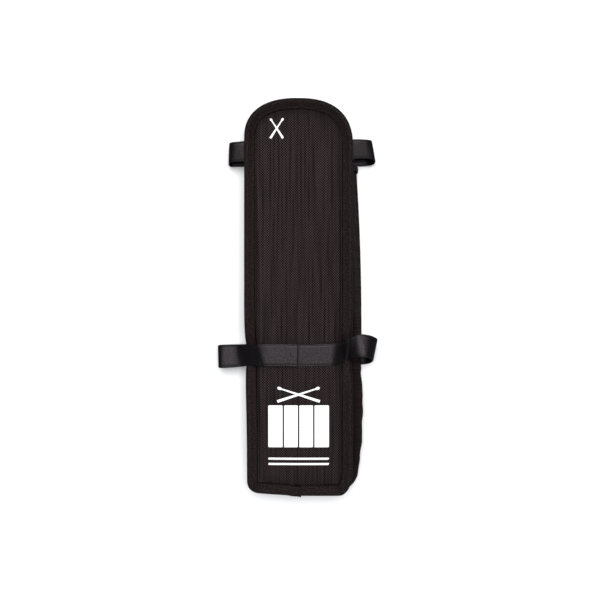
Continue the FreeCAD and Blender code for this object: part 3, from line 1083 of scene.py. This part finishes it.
def webbing_piece(name, rows, seed):
    """A strap through rows of its lower edge's and upper edge's (x, y, z), all in mm, at the
    middle of its thickness. Where the two stand closer than its width, it is cupped."""
    line, at = spline(np.array(rows) * mm, 1.5 * mm)
    a, b = line[:, :3], line[:, 3:]
    centre = (a + b) / 2
    tangent = np.gradient(centre, axis=0)
    tangent /= np.linalg.norm(tangent, axis=1)[:, None]
    across = b - a
    spread = np.linalg.norm(across, axis=1)
    across /= spread[:, None]
    cupped = np.minimum(1.0, spread / webbing_width)
    out = np.cross(tangent, across)
    out /= np.linalg.norm(out, axis=1)[:, None]
    half = webbing_width / 2
    section = strap_section(half, webbing)
    verts, uvs = [], []
    for i in range(len(line)):
        for u, rise in section:
            wobble = 0.25 * mm * ripple(at[i], u, 26, seed)
            edge = 0.22 * mm * ripple(at[i], math.copysign(1, u), 13, seed + 4) * abs(u) / half
            verts.append(centre[i] + across[i] * (u * cupped[i] + edge) + out[i] * (rise + wobble))
            uvs.append((u, at[i]))
    obj = fix_normals(new_object(name, verts, tube_faces(len(line), len(section)), strap_cloth, uvs))
    raise_above_floor(obj, 0.0)
    return obj


# Heights of the middle of the webbing's thickness, in mm.
under_mid = (patch_low.z - webbing / 2) / mm
tail_mid = (tail_high.z - webbing / 2) / mm
floor_mid = webbing / 2 / mm


def strap_row(y, x, z, shift=0.0, shear=0.0, twist=0.0, narrow=1.0):
    """A row of a strap whose middle runs at y. shift moves it up the bag, shear slants it, twist
    lifts its upper edge, and narrow below 1 cups the webbing across its width."""
    half = webbing_width / 2 / mm * narrow
    return x - shear, y + shift - half, z - twist, x + shear, y + shift + half, z + twist


def lower_row(*row):
    return strap_row(lower_y / mm, *row)


def upper_row(*row):
    return strap_row(upper_y / mm, *row)


# Across the front from the left, down at the panel's edge, over the roll at the right and back
# along the floor.
lower_strap_rows = [lower_row(*row) for row in (
    (-44.0, under_mid), (-30, under_mid), (-10, under_mid, -0.3), (12, under_mid, -0.4),
    (27, under_mid - 0.1, 0.0), (35.6, under_mid - 0.1, 0.4, 0, 0.1), (40.4, 36.9, 0.9, 0, 0.6),
    (44.0, 34.9, 1.4, 0.2, 1.4), (47.2, 32.0, 2.1, 0.5, 2.1), (50.4, 29.0, 3.1, 0.9, 2.6),
    (53.2, 26.8, 4.2, 1.0, 2.7), (55.2, 25.9, 5.1, 1.0, 2.6), (57.2, 26.8, 6.1, 0.8, 2.3),
    (59.6, 28.6, 7.2, 0.6, 1.7), (62.2, 30.3, 8.4, 0.4, 0.7), (64.8, 31.8, 9.4, 0.3, 0.0),
    (67.6, 32.8, 10.2, 0.2, -0.6), (72.6, 33.2, 10.3, 0.6, -1.4), (79, 31.8, 9.2, 1.6, -1.8),
    (84.0, 28.0, 7.0, 2.4, -1.6), (87.0, 21.4, 4.8, 2.6, -0.6), (86.8, 13.0, 2.4, 2.2, 0.2),
    (83.6, 6.4, 0.2, 1.2, 0.0), (78, 2.4, -1.2, 0.6), (70, 1.0, -1.6), (58, floor_mid, -1.6),
    (40, floor_mid, -1.0), (10, floor_mid, -0.6), (-20, floor_mid, -1.4), (-43.0, floor_mid, -2.4),
)]
fold = lower_left / mm - 0.8  # where the lower strap turns round at the left
# On along the floor, up round the roll at the left and over the front to its free end.
lower_tail_rows = [lower_row(*row) for row in (
    (-43.6, floor_mid, -2.4), (-60, floor_mid, -3.0), (-80, floor_mid, -3.4),
    (fold + 5.0, floor_mid + 0.1, -3.4), (fold + 1.2, 3.9, -3.4, -0.2), (fold, 10.0, -3.4, -0.4),
    (fold + 0.2, 16.6, -3.4, -0.4, -0.4), (fold + 1.6, 20.4, -3.4, -0.2, -0.6),
    (fold + 4.8, 21.8, -3.3, 0, -0.6), (-80.6, 22.1, -3.1, 0, -0.5), (-74.6, 22.1, -2.8, 0, -0.4),
    (-69.8, 22.5, -2.4, 0, 0.0), (-66.4, 23.6, -2.1, 0, 0.9), (-63.2, 25.5, -1.7, 0, 2.2),
    (-59.8, 28.0, -1.3, 0, 3.2), (-56.2, 30.7, -0.9, 0, 4.0), (-52.6, 33.7, -0.5, 0, 4.6),
    (-49.2, 36.7, -0.2, 0, 4.8), (-46.0, 39.3, 0, 0, 4.0), (-43.2, 41.0, 0.2, 0, 2.6),
    (-40.2, 41.8, 0.3, 0, 1.2), (-36.0, tail_mid + 0.1, 0.3, 0, 0.3), (-30, tail_mid, 0.4),
    (-15, tail_mid, 0.3), (tail_high.x / mm, tail_mid - 0.1, 0.0, 0.2),
)]
lower_main = webbing_piece("lower_strap_web", lower_strap_rows, 2.0)
lower_end = webbing_piece("lower_strap_end", lower_tail_rows, 7.0)

front_layer = (upper_high.z - webbing / 2) / mm - 0.1
inner_arm = (upper_patch_top + webbing / 2) / mm
# Across behind the lip from the left, round the loop at the right and back as the inner arm.
upper_strap_rows = [upper_row(*row) for row in (
    (-61.4, front_layer - 0.6, -0.7, 0, 2.1, 0.9), (-45, front_layer - 0.4, -0.8, 0, 1.0),
    (0, front_layer - 0.4), (45, front_layer - 0.4, 0, 0, 0.6),
    (58, front_layer - 1.6, 1.0, -0.2, 2.0, 0.9), (66, front_layer - 2.2, 2.2, -0.6, 2.7, 0.83),
    (73, front_layer - 2.6, 2.4, -1.0, 2.7, 0.82), (79.4, front_layer - 3.6, 2.3, -1.6, 2.5, 0.82),
    (84.4, front_layer - 6.6, 1.8, -2.2, 1.9, 0.86), (86.0, 13.4, 0.9, -2.2, 0.8, 0.94),
    (84.6, 7.6, 0.3, -1.8), (79.6, 3.2, 0.2, -1.0), (72, 1.4), (60, floor_mid + 0.1),
    (48, floor_mid + 0.1), (40, 2.4), (32, inner_arm - 0.5), (24, inner_arm), (0, inner_arm),
    (-29.6, inner_arm),
)]
# From the same place round the loop at the left, and along the floor as the outer arm.
upper_tail_rows = [upper_row(*row) for row in (
    (-61.0, front_layer - 0.6, -0.7, 0, 2.1, 0.9), (-68, front_layer - 1.2, -1.0, 0.2, 2.6, 0.86),
    (-74.6, front_layer - 2.4, -1.2, 0.5, 2.6, 0.86),
    (-78.4, front_layer - 5.4, -1.4, 0.6, 1.9, 0.88), (-79.8, 13.6, -1.5, 0.5, 0.8, 0.95),
    (-80.2, 7.5, -1.2, 0.3), (-79.9, 3.4, -0.8), (-78.6, 1.3, -0.6), (-74, floor_mid, -0.5),
    (-50, floor_mid, -0.2), (-10, floor_mid), (26, floor_mid),
)]
upper_main = webbing_piece("upper_strap_web", upper_strap_rows, 12.0)
upper_end = webbing_piece("upper_strap_end", upper_tail_rows, 17.0)
seat(lower_main, "bag", "webbing", "lower_strap")
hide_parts("lower_strap_tail")
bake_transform(lower_end)
seat(upper_main, "bag", "webbing", "upper_strap")
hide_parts("upper_strap_tail")
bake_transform(upper_end)


# ---------- hook and loop ----------

def pad_block(name, low, high, material, rise, seed):
    """A patch of hook or loop tape: a thin block with soft edges, uneven by rise in mm."""
    nx, ny = 44, 24
    verts, uvs = [], []
    for side in (1, -1):
        for i in range(nx):
            for j in range(ny):
                x = low.x + (high.x - low.x) * i / (nx - 1)
                y = low.y + (high.y - low.y) * j / (ny - 1)
                edge = min(i, nx - 1 - i, j, ny - 1 - j)
                half = (high.z - low.z) / 2 * (0.55 if edge == 0 else 0.9 if edge == 1 else 1.0)
                z = (low.z + high.z) / 2 + side * half
                z += rise * mm * 0.5 * ripple(x, y, 1.6, seed + side)
                verts.append((x, y, z))
                uvs.append((x, y))
    ring = [i * ny for i in range(nx)] + [(nx - 1) * ny + j for j in range(1, ny)]
    ring += [i * ny + ny - 1 for i in range(nx - 2, -1, -1)] + list(range(ny - 2, 0, -1))
    faces = block_faces(grid_faces(nx, ny), nx * ny, ring)
    return fix_normals(new_object(name, verts, faces, material, uvs))


for strap, body, low_node, high_node in (
    ("lower", "lower_tail", "lower_loop_patch", "lower_hook_patch"),
    ("upper", "upper_tail", "upper_loop_patch", "upper_hook_patch"),
):
    seat(pad_block(strap + "_loop_tape", *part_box(low_node), loop_cloth, rise=0.5, seed=3.0),
         "bag", "hook_and_loop", low_node)
    seat(pad_block(strap + "_hook_tape", *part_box(high_node), hook_cloth, rise=0.15, seed=5.0),
         body, "hook_and_loop", high_node)


def tuft_field(name, low, high, facing, material, curve, pitch, height, radius, turning):
    """Rows of short bent fibres, the hooks or loops that stand out of a patch, up where facing
    is 1 and down where it is -1. curve holds the (out, up) points of one fibre, as shares of its
    height, and turning says how much the fibres' directions vary."""
    verts, faces, uvs = [], [], []
    margin, root = 1.6 * mm, 0.1 * mm
    nx = int((high.x - low.x - 2 * margin) / pitch)
    ny = int((high.y - low.y - 2 * margin) / pitch)
    face = high.z if facing > 0 else low.z
    for i in range(nx):
        for j in range(ny):
            stray = ripple(i * pitch, j * pitch, 1.3, 2.0)
            x = low.x + margin + (i + 0.5) * pitch + 0.12 * mm * stray
            y = low.y + margin + (j + 0.5) * pitch
            angle = math.pi * (j % 2) + turning * 6.0 * stray
            ax, ay = math.cos(angle), math.sin(angle)
            first = len(verts)
            for out, up in curve:
                for round_x, round_y in ((radius, 0), (0, radius), (-radius, 0), (0, -radius)):
                    verts.append((x + ax * out * height + round_x, y + ay * out * height + round_y,
                                  face + facing * (up * height - root)))
                    uvs.append((x, y + up * height))
            faces += rod_faces(first, len(curve), 4)
    return fix_normals(new_object(name, verts, faces, material, uvs))


hook_curve = [(0, 0), (0, 0.45), (0.06, 0.75), (0.28, 0.98), (0.52, 0.85)]
loop_curve = [(0, 0), (0.05, 0.6), (0.35, 1.0), (0.75, 0.9), (0.95, 0.4), (0.9, 0)]
for strap, body, loop_side, hook_side in (
    ("lower", "lower_tail", 1, -1),
    ("upper", "upper_tail", -1, 1),
):
    loop_box, hook_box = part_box(strap + "_loop_patch"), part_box(strap + "_hook_patch")
    seat(tuft_field(strap + "_loops", *loop_box, loop_side, loop_cloth, loop_curve,
                    pitch=0.95 * mm, height=0.42 * mm, radius=0.09 * mm, turning=1.0),
         "bag", "hook_and_loop")
    seat(tuft_field(strap + "_hooks", *hook_box, hook_side, hook_cloth, hook_curve,
                    pitch=1.15 * mm, height=0.5 * mm, radius=0.12 * mm, turning=0.0),
         body, "hook_and_loop")


def stitches(name, line, normals):
    """A row of stitches laid on a line of points, each sunk at both ends."""
    pitch, length, radius = 3.3 * mm, 2.5 * mm, 0.27 * mm
    widths, rises = (0.45, 0.95, 1.0, 0.95, 0.45), (-0.7, 0.35, 0.55, 0.35, -0.7)
    line, normals = np.array(line), np.array(normals)
    run = run_along(line)
    count = max(int(run[-1] / pitch), 1)

    def along_line(at, values):
        return Vector([float(np.interp(at, run, values[:, c])) for c in range(3)])

    verts, faces, uvs = [], [], []
    for s in range(count):
        middle = (s + 0.5) * run[-1] / count
        first = len(verts)
        for k in range(5):
            t = (k - 2) / 2
            here = middle + t * length / 2
            p = along_line(here, line)
            q = along_line(here + 0.2 * mm, line)
            n = along_line(here, normals).normalized()
            along = (q - p).normalized() if (q - p).length > 1e-9 else Vector((1, 0, 0))
            side = along.cross(n)
            p += n * radius * rises[k]
            for m in range(6):
                angle = math.pi / 3 * m
                out, up = widths[k] * radius * math.cos(angle), widths[k] * radius * math.sin(angle)
                verts.append(p + side * out + n * up)
                uvs.append((m / 3 * mm, here))
        faces += rod_faces(first, 5, 6)
    return fix_normals(new_object(name, verts, faces, thread, uvs))


def tree_of(obj):
    """A tree that rays can be cast at, of a piece's faces."""
    verts = [v.co.copy() for v in obj.data.vertices]
    return BVHTree.FromPolygons(verts, [tuple(p.vertices) for p in obj.data.polygons])


def drop(tree, x, y, from_z, down=True):
    """Where a vertical ray through (x, y) meets a surface, and the surface's normal there."""
    way = Vector((0, 0, -1 if down else 1))
    place, normal = tree.ray_cast(Vector((x, y, from_z)), way)[:2]
    if place is not None and (normal.z > 0) != down:
        normal = -normal
    return place, normal


def join_pieces(name, pieces):
    """Makes one piece of several that share a material."""
    work = bmesh.new()
    for piece in pieces:
        work.from_mesh(piece.data)
    mesh = bpy.data.meshes.new(name)
    work.to_mesh(mesh)
    work.free()
    mesh.materials.append(pieces[0].data.materials[0])
    for piece in pieces:
        bpy.data.objects.remove(piece)
    return placed(name, mesh)


def stitched_path(name, tree, path, from_z, down=True):
    """Stitches along a flat path, laid on a surface from above or below."""
    met = [drop(tree, x, y, from_z, down) for x, y in path]
    met = [(place, normal) for place, normal in met if place is not None]
    return stitches(name, *zip(*met))


def box_cross(x, y, length, width):
    """The lines of a sewn rectangle and its cross."""
    a, b = x - length / 2, x + length / 2
    c, d = y - width / 2, y + width / 2
    inner = 2.2 * mm
    return [
        [(a, c), (b, c)], [(b, c), (b, d)], [(b, d), (a, d)], [(a, d), (a, c)],
        [(a + inner, c + inner * 0.7), (b - inner, d - inner * 0.7)],
        [(a + inner, d - inner * 0.7), (b - inner, c + inner * 0.7)],
    ]


def between(a, b):
    """Points about 1 mm apart from a to b."""
    count = max(int(math.dist(a, b) / (1 * mm)), 1)
    return np.linspace(a, b, count + 1)


far_above = 0.2
front_tape = tree_of(bpy.data.objects["front_binding_tape"])
seam_inset = tape_face - 1.9 * mm
seam_flat = edge_loop + edge_normals * seam_inset
seam_path = bend_panel(np.column_stack([seam_flat, np.zeros(len(seam_flat))]))[:, :2]
seam_path = np.vstack([seam_path, seam_path[:1]])
seat(stitched_path("front_binding_stitches", front_tape, seam_path, far_above), "bag", "thread")
lip_path = [p for p in seam_path if p[1] > mouth_y - 15 * mm]
seat(stitched_path("lip_stitches", front_tape, lip_path, -far_above, down=False), "bag", "thread")

for strap, target, y, down in (
    ("upper", upper_main, upper_y, False),
    ("lower", back_lining, lower_y, True),
):
    low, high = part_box(strap + "_strap_stitching")
    pieces = []
    tree = tree_of(target)
    inside_z, half = 22 * mm, 13.4 * mm
    for x in (low.x + half, high.x - half):
        for a, b in box_cross(x, y, 26 * mm, 17 * mm):
            name = f"{strap}_box_{len(pieces)}"
            pieces.append(stitched_path(name, tree, between(a, b), inside_z, down))
    whole = join_pieces(f"{strap}_strap_stitches", pieces)
    seat(whole, "bag", "thread", f"{strap}_strap_stitching")


# ---------- printed marks ----------

def ink_patch(name, shapes, node):
    """Flat shapes draped on the panel's cloth as a thin film of ink."""
    step = 1.6 * mm
    tree = tree_of(front_skin)
    points, loops = [], []
    for shape in shapes:
        ring = resample([*shape, shape[0]], step)[0][:-1]
        loops.append(list(range(len(points), len(points) + len(ring))))
        points += [Vector(p) for p in ring]
    edge = tree_through(points)
    xs, ys = [p.x for p in points], [p.y for p in points]
    for i in range(int((max(xs) - min(xs)) / step) + 1):
        for j in range(int((max(ys) - min(ys)) / step) + 1):
            x, y = min(xs) + i * step, min(ys) + j * step
            if edge.find((x, y, 0))[2] > 0.55 * step:
                points.append(Vector((x, y)))
    flat, _, faces = geometry.delaunay_2d_cdt(points, [], loops, fill_inside, weld)[:3]
    used = sorted({i for f in faces for i in f})
    number = {i: k for k, i in enumerate(used)}
    above = Vector((0, 0, 0.16 * mm))
    verts = [drop(tree, flat[i].x, flat[i].y, far_above)[0] + above for i in used]
    uvs = [tuple(flat[i]) for i in used]
    obj = fix_normals(new_object(name, verts, [tuple(number[i] for i in f) for f in faces], ink, uvs))
    if obj.data.polygons[0].normal.z < 0:
        obj.data.flip_normals()
    return seat(thicken(obj, 0.14 * mm, -1), "bag", "white_ink", node)


def stick_shape(x, y, length, width, lean):
    """A drum stick: a tapered shaft that ends in an oval tip."""
    half = length / 2
    outline = [(-width / 2, -half), (width / 2, -half), (width / 4, half * 0.74)]
    for i in range(13):
        angle = math.radians(-60 + 300 * i / 12)
        outline.append((width * 0.55 * math.cos(angle), half * 0.9 + width * 0.8 * math.sin(angle)))
    outline.append((-width / 4, half * 0.74))
    turn = math.radians(lean)
    c, s = math.cos(turn), math.sin(turn)
    return [(x + px * c - py * s, y + px * s + py * c) for px, py in outline]


def block(left, right, low, high):
    """The corners of an upright rectangle."""
    return [(left, low), (right, low), (right, high), (left, high)]


def drum_shapes(low, high, half):
    """A drum seen from the side, parted by three upright gaps."""
    gap = 0.8 * mm
    lefts = (-half, -half / 2 + gap, gap, half / 2 + gap)
    rights = (-half / 2 - gap, -gap, half / 2 - gap, half)
    return [block(a, b, low, high) for a, b in zip(lefts, rights)]


low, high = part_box("upper_print")
middle = (low + high) / 2
sticks = [stick_shape(middle.x, middle.y, 27 * mm, 2.6 * mm, lean) for lean in (32, -32)]
ink_patch("crossed_sticks", sticks, "upper_print")
low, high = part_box("lower_print")
half = (high.x - low.x) / 2
rule_half = 1.2 * mm
rule_low = low.y + rule_half
marks = drum_shapes(rule_low + 19.0 * mm, rule_low + 66.0 * mm, half)
for y in (rule_low, rule_low + 6.0 * mm):
    marks.append(block(-half, half, y - rule_half, y + rule_half))
for lean in (-72, 72):
    marks.append(stick_shape(0, rule_low + 78.0 * mm, 50 * mm, 3.2 * mm, lean))
ink_patch("drum_mark", marks, "lower_print")


# ---------- floor, light and camera ----------

def make_floor():
    """A wide white floor just under the bag. Glossy rays don't meet it, so that it doesn't shine
    back at the dark cloth."""
    far = 6.0
    floor_mesh = bpy.data.meshes.new("floor")
    floor_mesh.from_pydata([(x, y, 0) for x, y in block(-far, far, -far, far)], [], [(0, 1, 2, 3)])
    n = Nodes("floor_white", 0.9, specular=0.1)
    n.set("Base Color", (0.785, 0.785, 0.795, 1))
    floor_mesh.materials.append(n.material)
    floor = placed("floor", floor_mesh)
    floor.location.z = -0.2 * mm
    floor.visible_glossy = False


def soft_light(name, place, size, power):
    """A rectangular lamp of size (width, height), turned towards the bag's middle."""
    data = bpy.data.lights.new(name, "AREA")
    data.shape = "RECTANGLE"
    data.size, data.size_y = size
    data.energy = power
    light = placed(name, data)
    light.location = place
    light.rotation_euler = (-Vector(place)).to_track_quat("-Z", "Y").to_euler()


def make_camera(place, lens):
    """A camera that looks straight down."""
    data = bpy.data.cameras.new("camera")
    data.sensor_width = 36
    data.lens = lens
    data.clip_start, data.clip_end = 0.01, 50
    camera = placed("camera", data)
    camera.location = place
    bpy.context.scene.camera = camera


make_floor()
soft_light("key", (0.03, 0.46, 1.85), size=(1.6, 1.4), power=58)
soft_light("front_fill", (0.2, -1.7, 0.85), size=(1.8, 0.9), power=11)
make_camera((1.6 * mm, -3.4 * mm, 0.737), lens=37.55)
world = bpy.data.worlds.new("studio")
world.use_nodes = True
background = world.node_tree.nodes["Background"]
background.inputs["Color"].default_value = (0.88, 0.94, 1.0, 1)
background.inputs["Strength"].default_value = 0.2
bpy.context.scene.world = world
bpy.context.scene.view_settings.view_transform = "Standard"
